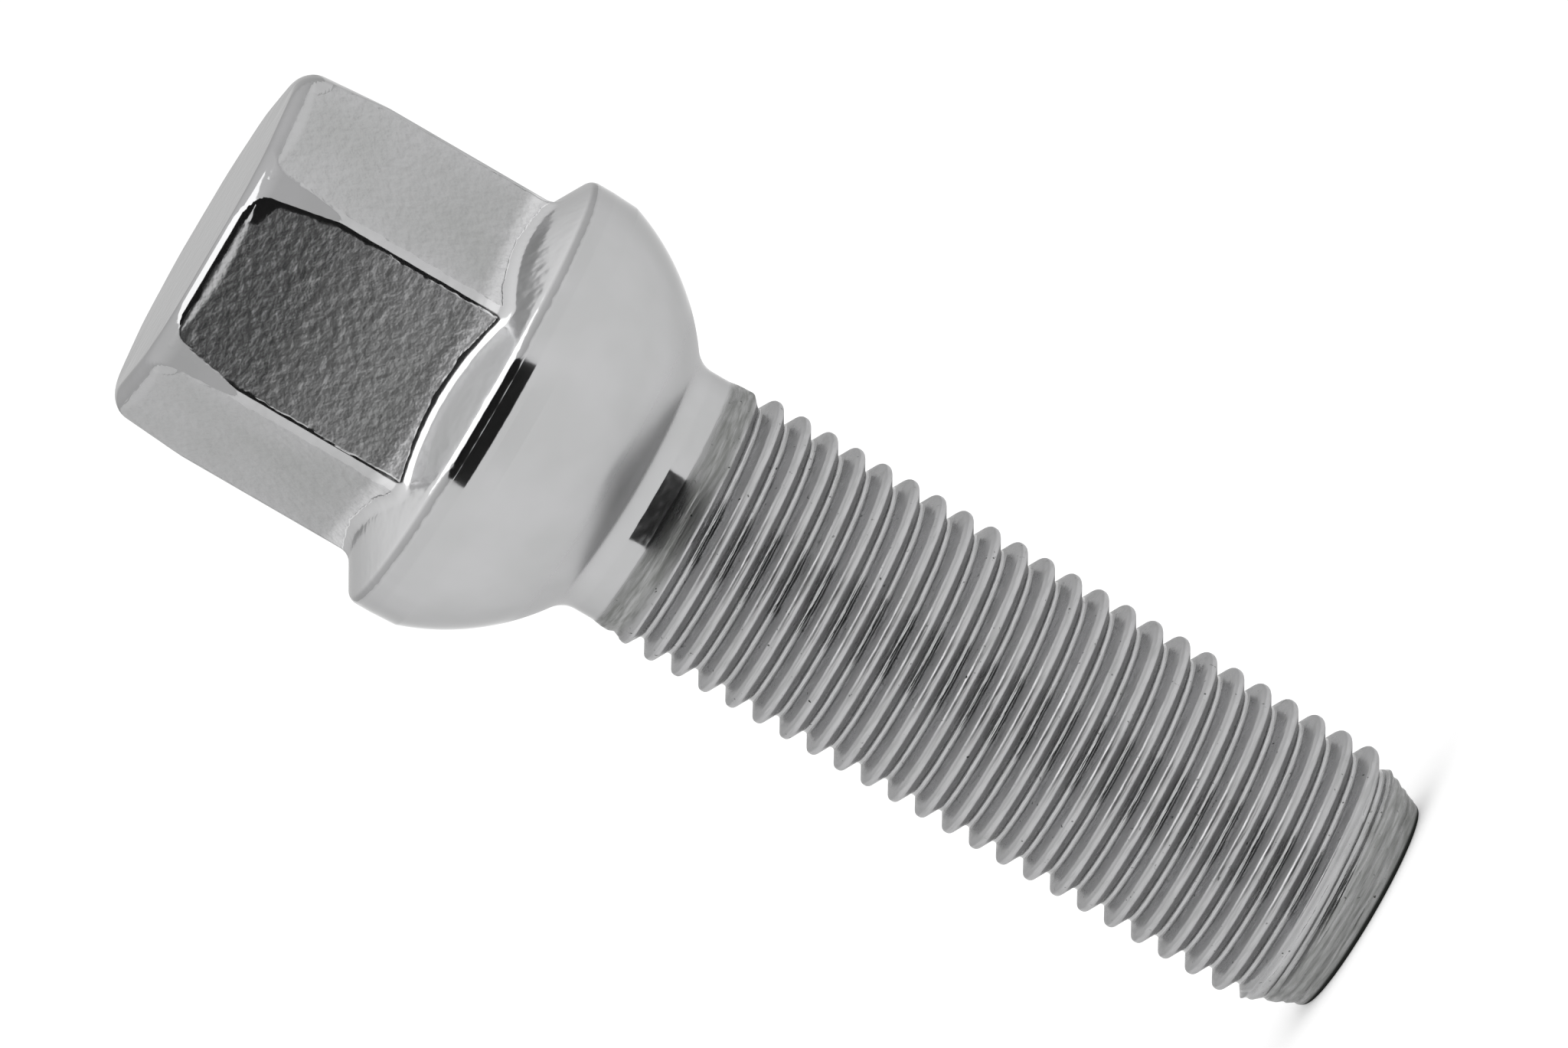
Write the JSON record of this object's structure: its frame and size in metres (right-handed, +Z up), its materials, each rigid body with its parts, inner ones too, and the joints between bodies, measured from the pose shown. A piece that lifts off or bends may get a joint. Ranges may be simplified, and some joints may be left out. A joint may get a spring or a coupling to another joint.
{
  "type": "wheel bolt",
  "caption": "Wheel bolt with a hexagon head, a collar with a ball seat, a short plain neck and a long fine-threaded shank.",
  "frame": {"origin": "centre of the flat end face of the threaded end, on which the bolt stands", "axes": "+Z up the bolt's axis from the threaded end to the head; two of the hexagon's flats face along +Y and -Y"},
  "size_m": [0.023, 0.023, 0.0641],
  "materials": {
    "plated_steel": "bright plating over forged steel: smooth and slightly wavy on the head and seat, duller and streaked along the rolled thread"
  },
  "bodies": {
    "root": {"wheel_bolt": "plated_steel"}
  },
  "joints": []
}
